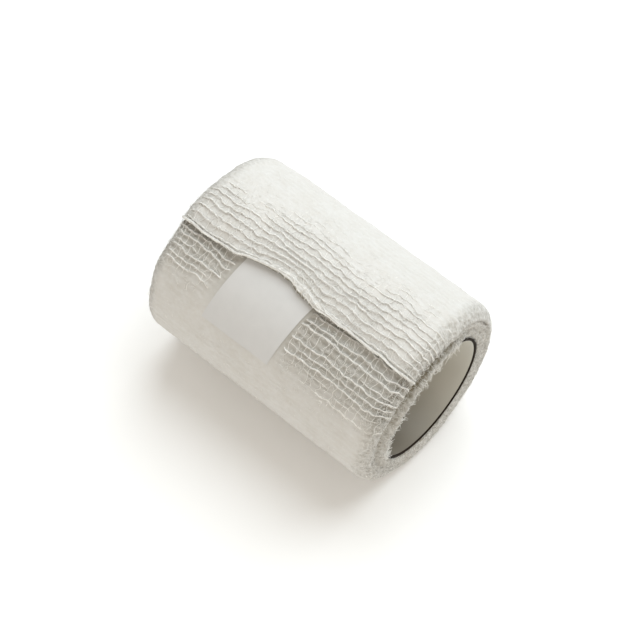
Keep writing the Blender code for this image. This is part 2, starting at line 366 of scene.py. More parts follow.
# The weave is counted in wefts round the roll and in warps across it, and both wander as crepe does.
WEFTS_IN_TURN = 89
WARP_PITCH, WEFT_PITCH = 0.00185, 0.0019
SPACING_UNEVEN = 0.34
MOST_COLUMNS = 26
DRIFTS = ((0.00105, 0.017, 1), (0.0007, 0.0065, 2), (0.00032, 0.0026, 3))  # (distance, size, seed)
ROOT_ROW = 65  # where the free end starts
OPEN_ABOVE_EDGE = (2.0, 58.0)  # degrees over which the weave closes again, above the free edge
OPEN_BELOW_LEFT, OPEN_BELOW_RIGHT, OPEN_BELOW_FADE = 6.0, 15.0, 38.0
OPEN_BELOW_TURN = (-0.014, 0.006)  # where along the roll the left one gives way to the right one
OPEN_PATCHES = ((0.26, 0.013, 8), (0.16, 0.0045, 10))  # (share, size, seed)
PATCHES_ANYWHERE = 0.5  # how much of them shows where the weave is otherwise closed
OPEN_BACK = (0.5, 240.0, 44.0)  # share, middle and spread of a patch at the back
# The slip, which presses the weave flat where it lies.
SLIP_WIDTH, SLIP_LENGTH, SLIP_TUCKED = 0.0219, 0.0231, 0.0038
SLIP_LEAN = math.tan(math.radians(9.0))
SLIP_CENTRE_X = -0.0049
PRESSED_BESIDE = (0.0002, 0.0022)  # how far past the slip's sides the weave is pressed, in full and at all
# Wefts that stand out in the rows below the free edge, where the weave has been picked open.
STRONG_BELOW_EDGE, OTHERS_BELOW_EDGE = (1, 2, 4, 6, 9), (3, 5, 7, 8)

spacing = np.random.default_rng(4)
row_marks = np.concatenate(([0.0], np.cumsum(1 + SPACING_UNEVEN * spacing.uniform(-1, 1, WEFTS_IN_TURN))))
row_marks *= 360.0 / row_marks[-1]
column_steps = WARP_PITCH * (1 + SPACING_UNEVEN * spacing.uniform(-1, 1, 2 * MOST_COLUMNS))
column_marks = np.concatenate(([0.0], np.cumsum(column_steps)))
column_marks -= column_marks[MOST_COLUMNS]
strength = spacing.uniform(0.2, 1.0, 2 * WEFTS_IN_TURN)
strength[list(STRONG_BELOW_EDGE)] = 1.0
strength[list(OTHERS_BELOW_EDGE)] = 0.0


def row_angle(row):
    turns = np.floor(row / WEFTS_IN_TURN)
    within = np.interp(row - turns * WEFTS_IN_TURN, np.arange(WEFTS_IN_TURN + 1), row_marks)
    return EDGE_ANGLE + 360.0 * turns + within


def column_across(column):
    return np.interp(column + MOST_COLUMNS, np.arange(2 * MOST_COLUMNS + 1), column_marks)


def net(row, column, height):
    """Points of the cloth counted in wefts round the roll and in warps across it."""
    row, column, height = np.broadcast_arrays(row, column, height)
    angle, across = row_angle(row), column_across(column)
    spot = nominal(angle, across)
    settled = 1 - smooth(WEFTS_IN_TURN - 4, WEFTS_IN_TURN, row)
    on_top = 1 - smooth(STRAIGHT, ROUNDED, np.abs(across))
    for distance, size, seed in DRIFTS:
        angle = angle + settled * on_top * np.degrees(distance / OUTER_RADIUS_LOW) * crinkle(spot, size, seed)
        across = across + on_top * distance * crinkle(spot, size, seed + 20)
    return on_cloth(angle, across, height)


def pressed(angle, across):
    """1 under the slip on the turn below the free end, and 0 away from it."""
    down = np.radians(angle - EDGE_ANGLE) * OUTER_RADIUS_LOW
    full, gone = PRESSED_BESIDE
    beside = np.abs(across - SLIP_CENTRE_X + SLIP_LEAN * down) - SLIP_WIDTH / 2
    beyond = np.abs(down + SLIP_TUCKED - SLIP_LENGTH / 2) - SLIP_LENGTH / 2
    return (1 - smooth(full, gone, beside)) * (1 - smooth(full, gone, beyond))


def picked_open(angle, across):
    """How far the weave has been picked open, from 0 to 1: most of all on both sides of the free edge."""
    below = turn_from(angle, EDGE_ANGLE + edge_shift(across))
    reach = OPEN_BELOW_LEFT + (OPEN_BELOW_RIGHT - OPEN_BELOW_LEFT) * smooth(*OPEN_BELOW_TURN, across)
    open_below = 1 - smooth(reach, reach + OPEN_BELOW_FADE, below)
    open_above = 1 - smooth(*OPEN_ABOVE_EDGE, -below)
    spot = nominal(angle, across)
    patch = crinkles(spot, OPEN_PATCHES)
    most, centre, spread = OPEN_BACK
    share = np.where(below > 0, open_below, open_above) + most * bell(turn_from(angle, centre), 0.0, spread)
    return np.clip(share * (1 + patch) + PATCHES_ANYWHERE * patch, 0.0, 1.0)


def openness(angle, across):
    """How openly the weave stands, from 0 to 1. The slip presses it shut."""
    return picked_open(angle, across) * (1 - pressed(angle, across))


def valley(count):
    """0 on a yarn and 1 halfway to the next."""
    return 0.5 - 0.5 * np.cos(math.tau * count)


GROUND_ROWS_PER_WEFT, GROUND_COLUMN_STEP = 4, 0.00046
GROUND_RISE, SOFT_RIDGES = 0.0001, 0.00016  # where the weave is closed
GROUND_SINK, FREE_END_SINK = 0.00044, 0.00034  # how much deeper it lies where the weave is open
GROUND_DIP, FREE_END_DIP = 0.00046, 0.00016  # and how much deeper still in the cells
CELL_ON_WARP = 0.4  # of a cell's depth, where a warp crosses it
GROUND_ROUGH = ((0.00008, 0.0011, 12), (0.00014, 0.0032, 13))
GROUND_ROUGH_OPEN = (0.00014, 0.0009, 16)
FACE_STATIONS = 15
FACE_ROUGH = ((0.0003, 0.0011, 14), (0.00042, 0.0028, 15))
RING_PITCH, RING_HEIGHT = 0.00125, 0.00016  # edges of the turns on the end faces
PRESS_DEPTH, PRESS_SINK = 0.0001, 0.0006  # how deep the cloth and its yarns lie under the slip
LIP_BACK, LIP_SWELL = 0.0004, 0.00008
INNER_MOUTHS = (0.037, 0.0345)  # where along the tube the lip's inside has its rings
FACE_SHADE = 0.03  # how much painted shade the end faces get all over
MOST_CELL_SHADE, MOST_CELL_SHADE_FREE_END = 0.56, 0.08  # and the most painted shade that the cells of an open weave get
ROW_SHADE_SHARE = 0.45  # of that painted shade on the yarns' own rows
PRESSED_SHADE_SHARE = 0.8  # how much of a cell's painted shade the band gets that the slip presses flat
PILED = (STRAIGHT - 0.0012, STRAIGHT + 0.003)  # from where to where the brushed pile sets in
# how much painted shade the blots of the brushed pile get
PILE_SHADE = 0.46
FELT_TONES = (0.615, 0.594, 0.555, 1.0), (0.685, 0.678, 0.659, 1.0)
# Tones of the painted shade in cells, creases, under the rolled edge and in the pile's blots.
PAINTED_SHADE_TONES = (0.18, 0.152, 0.105, 1.0), (0.166, 0.152, 0.108, 1.0)


def cell(row, column):
    return valley(row) * (CELL_ON_WARP + (1 - CELL_ON_WARP) * valley(column))


def ground_height(row, column):
    """Height of the felted mass: ridges under the wefts, hollows in the cells, rings on the end faces."""
    angle, across = row_angle(row), column_across(column)
    spot = nominal(angle, across)
    open_share = openness(angle, across)
    flat = smooth(FACE_FROM, ROUNDED, np.abs(across))
    rough = crinkles(spot, GROUND_ROUGH)
    rough = rough + open_share * GROUND_ROUGH_OPEN[0] * crinkle(spot, *GROUND_ROUGH_OPEN[1:])
    face_rough = crinkles(spot, FACE_ROUGH)
    rings = RING_HEIGHT * np.cos(math.tau * ((np.abs(across) - STRAIGHT) / RING_PITCH - angle / 360.0))
    ridges = SOFT_RIDGES * (0.5 - valley(row)) * (1 - open_share) * (1 + crinkle(spot, 0.007, 17))
    on_free_end = smooth(ROOT_ROW - 1, ROOT_ROW + 4, row)
    sink = GROUND_SINK + (FREE_END_SINK - GROUND_SINK) * on_free_end
    deepest = GROUND_DIP + (FREE_END_DIP - GROUND_DIP) * on_free_end
    dips = sink * open_share + deepest * cell(row, column) * open_share ** 1.5 - GROUND_RISE
    under_slip = pressed(angle, across)
    weave = (rough + ridges - dips) * (1 - under_slip) - PRESS_DEPTH * under_slip
    return weave * (1 - flat) + (face_rough + rings) * flat


def painted_shade_share(row, column, most):
    """How much painted shade a point of the ground gets, from 0 to 1, for how far it lies from the light in a
    cell or a crease.
    """
    angle, across = row_angle(row), column_across(column)
    side = np.where(across < 0, -1.0, 1.0)
    on_face = smooth(FACE_FROM, ROUNDED + 0.001, np.abs(across))
    radius = spiral_radius(angle) - SHOULDER - np.maximum(0.0, np.abs(across) - ROUNDED)
    # Painted shade in the creases of the end faces.
    crease_shade = formed(side, angle, radius, OPEN_END_SHADE, FAR_END_SHADE)
    under_slip = pressed(angle, across)
    deep = cell(row, column) * (1 - under_slip) + PRESSED_SHADE_SHARE * under_slip
    deep = ROW_SHADE_SHARE + (1 - ROW_SHADE_SHARE) * deep
    cell_shade = most * deep * picked_open(angle, across)
    return np.clip(cell_shade * (1 - on_face) + (FACE_SHADE + crease_shade) * on_face, 0.0, 1.0)


def piled(column):
    """How much of a point's surface is brushed pile, from 0 on the cloth to 1 on the rims and end faces."""
    return smooth(*PILED, np.abs(column_across(column)))


def add_shares(piece, name, values):
    shares = piece.data.attributes.new(name, "FLOAT", "POINT")
    shares.data.foreach_set("value", np.asarray(values, dtype=np.float32).ravel())


across_line = np.linspace(-ROUNDED, ROUNDED, 2 * round(ROUNDED / GROUND_COLUMN_STEP) + 1)
face_shares = np.arange(1, FACE_STATIONS + 1) / FACE_STATIONS
ground_rows = np.arange(ROOT_ROW - WEFTS_IN_TURN, ROOT_ROW, 1 / GROUND_ROWS_PER_WEFT)[:, None]
ground_angles = row_angle(ground_rows)
face_tops = spiral_radius(ground_angles) - SHOULDER
face_runs = [face_tops - mouth_radius(side, ground_angles) for side in (-1.0, 1.0)]
across_all = np.concatenate((
    -ROUNDED - face_runs[0] * face_shares[::-1],
    np.broadcast_to(across_line, (len(ground_rows), len(across_line))),
    ROUNDED + face_runs[1] * face_shares,
), axis=1)
columns_all = np.interp(across_all, column_marks, np.arange(2 * MOST_COLUMNS + 1) - MOST_COLUMNS)
rows_all = np.broadcast_to(ground_rows, across_all.shape)
ground_skin = net(rows_all, columns_all, ground_height(rows_all, columns_all))


def unit(vectors, least=1e-12):
    """The vectors at length 1. The least length is added so that none is divided by zero."""
    return vectors / (np.linalg.norm(vectors, axis=1)[:, None] + least)


def mouth_wall(side):
    """Points that take an end face's lip back into the roll, along the outside of the tube."""
    lip = ground_skin[:, -1 if side > 0 else 0]
    outward = unit((lip - (0.0, 0.0, AXIS_HEIGHT)) * (0.0, 1.0, 1.0), 0.0)
    wall = [lip - (side * LIP_BACK, 0.0, 0.0) + outward * LIP_SWELL]
    for x in INNER_MOUTHS:
        wall.append((side * x, 0.0, AXIS_HEIGHT) + outward * MOUTH_RADIUS)
    return np.stack(wall if side > 0 else wall[::-1], axis=1)


ground_rings = np.concatenate((ground_skin, mouth_wall(1), mouth_wall(-1)), axis=1)

gauze = Finish("crepe_gauze", Roughness=0.95, Sheen_Weight=0.2, Sheen_Roughness=0.6, Specular_IOR_Level=0.15)
# Painted shade: the stored hollow share and the pile's blots mix the felt towards the shade tones.
pile = gauze.stored("pile") * gauze.speckle(0.0009, 3.0, 3.0)
depth = gauze.stored("hollow") + PILE_SHADE * pile
warmth = gauze.speckle(0.0035, 3.0, 2.2)
grain = gauze.speckle(0.001, 4.0, 2.2)
felt_tone = gauze.between(0.5 * warmth + 0.5 * grain, *FELT_TONES)
painted_shade_tone = gauze.between(warmth, *PAINTED_SHADE_TONES)
gauze.shade("Base_Color", gauze.between(depth, felt_tone, painted_shade_tone))
gauze.bumped(gauze.speckle(0.0007, 4.0) + 0.5 * gauze.speckle(0.00022, 2.0) - 1.5 * pile, 0.00022, 0.7)

ground_faces = ring_faces(*ground_rings.shape[:2])[:, ::-1]
ground = piece_of("wound_gauze", ground_rings.reshape(-1, 3), ground_faces, gauze, "gauze")
wall_shape = (len(ground_rings), ground_rings.shape[1] - ground_skin.shape[1])
# Painted shade for the cells, creases and end faces, stored at the points as hollow.
ground_shade = painted_shade_share(rows_all, columns_all, MOST_CELL_SHADE)
add_shares(ground, "hollow", np.concatenate((ground_shade, np.zeros(wall_shape)), axis=1))
add_shares(ground, "pile", np.concatenate((piled(columns_all), np.ones(wall_shape)), axis=1))
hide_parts("wound_strip")

# The outer turn's yarns: soft wefts of two loose strands across the roll, and thinner warps round it
# that show as rungs between them. Both end in a ragged selvedge on each shoulder.
STRAND_SIDES = 3
STRAND_LAY = 0.0033
STRAND_APART = 0.000105
WEFT_STEP, WARP_ROW_STEP = 0.17, 0.18  # in warps and in wefts
WEFT_RADIUS, WARP_RADIUS = 0.000115, 0.000085
YARN_BURIED, YARN_FLUSH = -0.0007, -0.00008  # height where the weave is closed, and where it starts to open
WEFT_RISE = 0.00017  # of the strongest weft, where the weave is open
WARP_DROP = (-0.00002, 0.00013)  # on a weft, and how much further down between two
SURFACED = 0.26  # openness at which the yarns are out of the felted mass
LEAST_SHOWN, FEWEST_POINTS = 0.25, 5  # how far out a yarn is before it shows at all
SNAGS = ((0.2, 0.005, 41), (0.11, 0.0016, 42))  # (wefts, size, seed)
ZIGZAG = 0.06
WEFT_HOLD = 0.42  # how much more openness the weakest weft needs to come out
WEFT_BREAKS = 0.6  # how readily a weft goes in and out where the weave closes
WARP_SNAGS = ((0.2, 0.0042, 43), (0.12, 0.0013, 44))
WARP_SLANT = 0.11
WARP_HOLD, WARP_BREAKS = 0.2, 0.48  # how much more any warp needs, and how readily it goes in and out
OUTWARD = 0.0003  # a small step out of the cloth, to find which way that is
SELVEDGE_COLUMN = 21
SELVEDGE_SINK, SELVEDGE_SINKS = 0.0005, (19.7, 17.0)
FIRST_ROW = -4
STRAY_STEP, STRAY_RADIUS = 0.16, 0.00005
STRAY_LOOPS = ((0.16, 0.005, 46), (0.3, 0.0017, 47), (0.12, 0.0009, 48))  # (wefts, size, seed)
STRAY_RISE, STRAY_HOPS = 0.00022, 0.0002


def yarn_frame(points, ups):
    run = unit(np.gradient(points, axis=0))
    beside = unit(np.cross(ups, run))
    return beside, np.cross(run, beside)


def spun(paths):
    """Verts and faces of strands with closed ends. Each path is (points, ups, radii)."""
    sides = STRAND_SIDES
    verts, faces, first = [], [], 0
    turns = np.linspace(0.0, math.tau, sides, endpoint=False)
    for points, ups, radii in paths:
        count = len(points)
        beside, above = yarn_frame(points, ups)
        wide, high = radii[:, None] * np.cos(turns), radii[:, None] * np.sin(turns)
        ring = points[:, None] + wide[..., None] * beside[:, None] + high[..., None] * above[:, None]
        verts.append(ring.reshape(-1, 3))
        start = first + sides * np.arange(count - 1)[:, None]
        step = np.arange(sides)
        beyond = (step + 1) % sides
        corners = (start + step, start + beyond, start + sides + beyond, start + sides + step)
        faces += np.stack(corners, axis=-1).reshape(-1, 4).tolist()
        faces.append(list(range(first + sides - 1, first - 1, -1)))
        faces.append(list(range(first + sides * (count - 1), first + sides * count)))
        first += sides * count
    verts = np.concatenate(verts)
    verts[:, 2] = np.maximum(verts[:, 2], REST_HEIGHT)
    return verts, faces


def where_shown(path, out):
    """The stretches of a yarn that are not buried in the felted mass."""
    shown = np.concatenate(([False], out > LEAST_SHOWN, [False]))
    turns = np.flatnonzero(np.diff(shown.astype(int)))
    spans = [span for span in zip(turns[::2], turns[1::2]) if span[1] - span[0] >= FEWEST_POINTS]
    return [tuple(part[start:stop] for part in path) for start, stop in spans]


def selvedge_sink(column):
    """How far a yarn goes down into the felted mass near a selvedge, sooner on the far side."""
    near, far = SELVEDGE_SINKS
    start = np.where(column > 0, near, far)
    return SELVEDGE_SINK * smooth(start, start + 3.0, np.abs(column))


def with_ups(row, column, height):
    """Points of a yarn and the outward direction at each."""
    low, high = net(row, column, height), net(row, column, height + OUTWARD)
    return low, unit(high - low)


def tapered(count, tip=0.4, share=0.02):
    """1 along a yarn, falling to tip at both of its ends."""
    place = np.linspace(0.0, 1.0, count)
    return tip + (1 - tip) * smooth(0.0, share, np.minimum(place, 1 - place))


def lumps(points, seed):
    return 1 + 0.42 * crinkle(points, 0.0012, seed) + 0.38 * crinkle(points, 0.0005, seed + 1)


def own_line(along, number):
    """A line in the noise that one yarn has to itself."""
    return np.stack([along, np.full_like(along, 0.05 * number), np.zeros_like(along)], axis=-1)


def two_strands(points, ups, radii, seed, out):
    """A yarn's strands, which wind round each other and part here and there."""
    beside, above = yarn_frame(points, ups)
    gone = np.concatenate(([0.0], np.cumsum(np.linalg.norm(np.diff(points, axis=0), axis=1))))
    line = own_line(gone, seed)
    turn = math.tau * gone / STRAND_LAY + 2.0 * crinkle(line, 0.006, 51)
    apart = STRAND_APART * (1 + 0.9 * crinkle(line, 0.0035, 52))
    strands = []
    for phase in (0.0, math.pi):
        off = np.cos(turn + phase)[:, None] * beside + 0.6 * np.sin(turn + phase)[:, None] * above
        strand = (points + apart[:, None] * off, ups, radii * (1 + 0.15 * math.cos(seed + phase)))
        strands += where_shown(strand, out)
    return strands


def surfaced(open_share, out, open_height):
    """Height of a yarn, which leaves the felted mass as out goes to 1 and stands up as the weave opens."""
    standing = YARN_FLUSH + (open_height - YARN_FLUSH) * smooth(0.1, 0.8, open_share)
    return YARN_BURIED + (standing - YARN_BURIED) * out


def weft(row, random):
    """The strands of one weft, from selvedge to selvedge."""
    ends = SELVEDGE_COLUMN + random.uniform(-0.6, 0.7, 2)
    column = np.arange(-ends[0], ends[1], WEFT_STEP)
    line = own_line(column_across(column), row)
    rows = row + crinkles(line, SNAGS)
    rows = np.minimum(rows + ZIGZAG * np.cos(math.pi * (column + row)), WEFTS_IN_TURN - 0.1)
    angle, across = row_angle(rows), column_across(column)
    open_share = openness(angle, across)
    stands = np.clip(0.1 + 0.75 * strength[row % len(strength)] + 0.45 * crinkle(line, 0.011, 9), 0.0, 1.0)
    breaks = WEFT_BREAKS * crinkle(line, 0.0042, 53) * (1 - open_share)
    out = smooth(0.0, SURFACED, open_share - WEFT_HOLD * (1 - stands) + breaks) * smooth(-0.1, 0.3, stands)
    height = surfaced(open_share, out, WEFT_RISE * stands)
    height -= selvedge_sink(column) + PRESS_SINK * pressed(angle, across)
    points, ups = with_ups(rows, column, height)
    knots = 1 + 0.25 * bell(column - np.round(column), 0.0, 0.17)
    radii = WEFT_RADIUS * (0.62 + 0.55 * stands) * knots * lumps(points, 3) * tapered(len(column))
    return two_strands(points, ups, radii, row, out)


def warp(column, first, last):
    """One warp: it drops between the wefts, and leans to and fro from one to the next."""
    row = np.linspace(first, last, round((last - first) / WARP_ROW_STEP))
    line = own_line(row * WEFT_PITCH, 200 + column)
    columns = column + crinkles(line, WARP_SNAGS)
    columns = columns + WARP_SLANT * np.cos(math.pi * (row + column)) * (1 + crinkle(line, 0.004, 45))
    angle, across = row_angle(row), column_across(columns)
    open_share = openness(angle, across)
    out = smooth(0.0, SURFACED, open_share - WARP_HOLD + WARP_BREAKS * crinkle(line, 0.004, 50))
    height = surfaced(open_share, out, WARP_DROP[0] - WARP_DROP[1] * valley(row))
    height -= selvedge_sink(columns) + PRESS_SINK * pressed(angle, across)
    points, ups = with_ups(row, columns, height)
    return (points, ups, WARP_RADIUS * lumps(points, 5) * tapered(len(row))), out


def stray(row):
    """A thin strand that has come loose from a weft and loops to and fro over it."""
    column = np.arange(-SELVEDGE_COLUMN - 0.4, SELVEDGE_COLUMN + 0.4, STRAY_STEP)
    line = own_line(column_across(column), 120 + row)
    rows = row + crinkles(line, STRAY_LOOPS)
    columns = column + crinkles(line, STRAY_LOOPS, 7)
    rows = np.minimum(rows, WEFTS_IN_TURN - 0.4)
    angle, across = row_angle(rows), column_across(columns)
    stands = smooth(0.0, 0.4, strength[row % len(strength)])
    open_share = openness(angle, across)
    out = smooth(0.0, SURFACED, open_share) * stands
    height = surfaced(open_share, out, STRAY_RISE)
    height += STRAY_HOPS * crinkle(line, 0.0016, 49)
    height -= selvedge_sink(column) + PRESS_SINK * pressed(angle, across)
    points, ups = with_ups(rows, columns, height)
    return where_shown((points, ups, STRAY_RADIUS * lumps(points, 9) * tapered(len(column))), out)


YARN_TONES = (0.8, 0.782, 0.737, 1.0), (0.92, 0.912, 0.887, 1.0)
yarn = Finish("gauze_yarn", Roughness=0.9, Sheen_Weight=0.3, Sheen_Roughness=0.5, Specular_IOR_Level=0.15)
yarn.shade("Base_Color", yarn.between(yarn.speckle(0.0007, 3.0), *YARN_TONES))
yarn.bumped(yarn.speckle(0.00018, 3.0), 0.00005, 0.7)


def yarn_piece(name, paths):
    return piece_of(name, *spun(paths), yarn, "gauze")


def across_rows(rows):
    """Every weft of those rows, and the stray strands that have come loose from them."""
    wefts = [strand for row in rows for strand in weft(row, yarn_random)]
    return wefts, [stretch for row in rows for stretch in stray(row)]


yarn_random = np.random.default_rng(11)
wound_wefts, wound_strays = across_rows(range(FIRST_ROW, ROOT_ROW))
wound_warps = [stretch for column in range(-SELVEDGE_COLUMN, SELVEDGE_COLUMN + 1)
               for stretch in where_shown(*warp(column, FIRST_ROW - 0.5, ROOT_ROW - 0.5))]
yarn_piece("wound_wefts", wound_wefts)
yarn_piece("wound_warps", wound_warps)
yarn_piece("wound_strays", wound_strays)

# The slip: a blank square of smooth white paper, laid on the weave and held by the free end over it.
SLIP_HEIGHT, SLIP_THICKNESS = -0.00002, 0.00008
SLIP_CELLS = (34, 36)
SLIP_BUCKLE = 0.00004
PAPER_TONES = (0.6, 0.598, 0.594, 1.0), (0.655, 0.652, 0.647, 1.0)


def closed_strip(layers):
    """Verts and faces of a thin strip from its upper and lower layer, each as rows of points."""
    rings = np.concatenate((layers[0], layers[1][:, ::-1]), axis=1)
    count, width = rings.shape[:2]
    last = (count - 1) * width
    faces = ring_faces(count, width)[:last, ::-1].tolist()
    for step in range(width // 2 - 1):
        faces.append([step, step + 1, width - 2 - step, width - 1 - step])
        faces.append([last + step + 1, last + step, last + width - 1 - step, last + width - 2 - step])
    return rings.reshape(-1, 3), faces


def slip_mesh():
    across, along = np.meshgrid(
        np.linspace(-0.5, 0.5, SLIP_CELLS[0] + 1), np.linspace(0.0, 1.0, SLIP_CELLS[1] + 1)
    )
    down = SLIP_LENGTH * along - SLIP_TUCKED
    x = SLIP_CENTRE_X + SLIP_WIDTH * across - SLIP_LEAN * down
    angle = EDGE_ANGLE + np.degrees(down / OUTER_RADIUS_LOW)
    spot = nominal(angle, x)
    buckle = SLIP_BUCKLE * (crinkle(spot, 0.009, 71) + 0.3 * crinkle(spot, 0.0022, 72))
    layers = []
    for depth in (SLIP_THICKNESS, 0.0):
        radius = spiral_radius(angle) + SLIP_HEIGHT + buckle + depth
        turned = np.radians(angle)
        layers.append(np.stack([x, -radius * np.sin(turned), AXIS_HEIGHT + radius * np.cos(turned)], axis=-1))
    return closed_strip(layers)


paper = Finish("blank_paper", Roughness=0.62, Specular_IOR_Level=0.3)
paper.shade("Base_Color", paper.between(paper.speckle(0.0035, 4.0), *PAPER_TONES))
paper.bumped(paper.speckle(0.0004, 3.0), 0.00002, 0.5)
slip = piece_of("blank_slip", *slip_mesh(), paper, "slip")
slip.data.set_sharp_from_angle(angle=CRISP_FROM)
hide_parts("paper_slip")

# The free end: the last stretch of the outer turn, lying loose over the turn below.
# Its edge is rolled and puffed by the stretchy threads, and it lies low over the top of the slip.
SHEET_TOP_COLUMNS = 20.3
SHEET_UNDERSIDE = 0.00108
SHEET_COLUMN_STEP = 0.26
SHEET_START_SINK = 0.0003
ROLL_RADIUS, ROLL_EXTRA = 0.00034, 0.001
ROLL_CENTRE, ROLL_SPREAD = 0.0015, 0.0088
ROLL_TAPER, ROLL_TIP = (18.5, 21.8), 0.25  # where the roll runs out at the selvedges, and how thin
ROLL_PROUD, ROLL_OUT = 0.00024, -0.0003
ROLL_STATIONS, ROLL_SIDES = 330, 18
ROLL_SHADE_SETS_IN, ROLL_SHADE_CLEARS = (44.0, 66.0), (220.0, 300.0)  # degrees from its top over which its painted shade sets in and clears
ROLL_TURNS = np.arange(ROLL_SIDES) * 360.0 / ROLL_SIDES
ROLL_LUMPS = ((0.36, 0.0022, 61), (0.26, 0.0009, 62))
ROLL_WANDER = 0.00042
ROLL_YARNS = (-40.0, -5.0, 28.0)  # places round the rolled edge, in degrees on from its top
ROLL_FLATTENED = 0.8  # of its lower half, where it rests on the slip
CURL_TURNS = (-35.0, 80.0)  # from where to where a warp's end curls round it


def sheet_mesh():
    """Closed body of the free end's felted ply, and how much painted shade its points get in the cells."""
    column = np.arange(-SHEET_TOP_COLUMNS, SHEET_TOP_COLUMNS + 0.01, SHEET_COLUMN_STEP)[None]
    flush = np.linspace(ROOT_ROW - 0.27, WEFTS_IN_TURN - 0.28, round((WEFTS_IN_TURN - ROOT_ROW) * 3.6))
    rows = np.concatenate(([ROOT_ROW - 0.6], flush))[:, None]
    rows, column = np.broadcast_arrays(rows, column)
    sunk = np.where(rows < flush[0], SHEET_START_SINK, 0.0)
    top = net(rows, column, ground_height(rows, column) - sunk)
    under = net(rows, column, np.full_like(rows, -SHEET_UNDERSIDE))
    verts, faces = closed_strip((top, under))
    shade_shares = np.concatenate((painted_shade_share(rows, column, MOST_CELL_SHADE_FREE_END), np.zeros_like(rows)), axis=1)
    return verts, faces, shade_shares, np.concatenate((piled(column), piled(column)), axis=1)


*sheet, sheet_shade, sheet_piles = sheet_mesh()
free_end = piece_of("free_end_gauze", *sheet, gauze, "gauze")
# Painted shade in the free end's cells.
add_shares(free_end, "hollow", sheet_shade)
add_shares(free_end, "pile", sheet_piles)
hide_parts("free_end")


def rolled_edge_frame(column):
    """Centre of the rolled edge, the ways up and onward from it, and its radius, at each warp."""
    column = np.asarray(column, float)
    rows = np.full_like(column, float(WEFTS_IN_TURN))
    across = column_across(column)
    radius = ROLL_RADIUS + ROLL_EXTRA * bell(across, ROLL_CENTRE, ROLL_SPREAD)
    radius = radius * (1 - (1 - ROLL_TIP) * smooth(*ROLL_TAPER, np.abs(column)))
    height = ROLL_PROUD - radius
    sunk = net(rows, column, height)
    ups = unit(net(rows, column, height + OUTWARD) - sunk, 0.0)
    onward = unit(sunk - net(rows - 0.3, column, height), 0.0)
    wander = ROLL_WANDER * crinkle(own_line(across, 300), 0.0036, 63)
    return sunk + onward * (ROLL_OUT - 0.5 * radius + wander)[:, None], ups, onward, radius


def roll_surface(column, turn, proud=0.0):
    """Points on the rolled edge at a turn, in degrees on from its top, and the way out at each."""
    centre, ups, onward, radius = rolled_edge_frame(column)
    turn = np.radians(turn)
    high, beside = np.cos(turn), np.sin(turn)
    out = high[..., None] * ups + beside[..., None] * onward
    spot = centre + out * radius[:, None]
    uneven = 1 + crinkles(spot, ROLL_LUMPS)
    on_slip = bell(column_across(column), ROLL_CENTRE, ROLL_SPREAD)
    rested = np.where(high < 0, high * (1 - ROLL_FLATTENED * on_slip), high)
    section = rested[..., None] * ups + beside[..., None] * onward
    return centre + section * (radius * uneven)[:, None] + out * proud, out


def rolled_edge_mesh():
    column = np.linspace(-ROLL_TAPER[1], ROLL_TAPER[1], ROLL_STATIONS)
    rings = np.stack([roll_surface(column, np.full_like(column, turn))[0] for turn in ROLL_TURNS], axis=1)
    last = (ROLL_STATIONS - 1) * ROLL_SIDES
    faces = ring_faces(ROLL_STATIONS, ROLL_SIDES)[:last].tolist()
    faces.append(list(range(ROLL_SIDES - 1, -1, -1)))
    faces.append(list(range(last, last + ROLL_SIDES)))
    return rings.reshape(-1, 3), faces


def roll_yarn(turn, number):
    """A weft caught in the rolled edge, running along it."""
    column = np.arange(-SELVEDGE_COLUMN, SELVEDGE_COLUMN, WEFT_STEP)
    line = own_line(column_across(column), 310 + number)
    strays = turn + 22.0 * crinkle(line, 0.006, 64) + 9.0 * crinkle(line, 0.0015, 65)
    points, out = roll_surface(column, strays, 0.00004)
    radii = WEFT_RADIUS * lumps(points, 7) * tapered(len(column))
    return two_strands(points, out, radii, 310 + number, np.ones(len(column)))


def free_warp(column):
    """A warp of the free end, which curls round the rolled edge where it stops."""
    (points, ups, radii), out = warp(column, ROOT_ROW - 0.5, WEFTS_IN_TURN - 0.9)
    turn = np.linspace(*CURL_TURNS, 12)
    lean = 0.25 * crinkle(own_line(turn / 3000.0, column), 0.02, 66)
    curl, curl_ups = roll_surface(column + lean, turn, 0.00006)
    curl_radii = WARP_RADIUS * 1.1 * lumps(curl, 8)
    path = [np.concatenate(pair) for pair in ((points, curl), (ups, curl_ups), (radii, curl_radii))]
    return where_shown(path, np.concatenate((out, np.ones(len(turn)))))


free_wefts, free_strays = across_rows(range(ROOT_ROW, WEFTS_IN_TURN))
free_warps = [stretch for column in range(-SELVEDGE_COLUMN + 1, SELVEDGE_COLUMN)
              for stretch in free_warp(column)]
roll_yarns = [strand for number, turn in enumerate(ROLL_YARNS) for strand in roll_yarn(turn, number)]
rolled_edge = piece_of("free_end_rolled_edge", *rolled_edge_mesh(), gauze, "gauze")
# Painted shade on the rolled edge's underside, where it rests on the slip.
roll_underside_shade = smooth(*ROLL_SHADE_SETS_IN, ROLL_TURNS) * (1 - smooth(*ROLL_SHADE_CLEARS, ROLL_TURNS))
add_shares(rolled_edge, "hollow", np.tile(roll_underside_shade, ROLL_STATIONS))
edge_pieces = [
    yarn_piece("free_end_wefts", free_wefts),
    yarn_piece("free_end_warps", free_warps),
    yarn_piece("free_end_strays", free_strays),
    rolled_edge,
    yarn_piece("free_end_edge_yarns", roll_yarns),
]

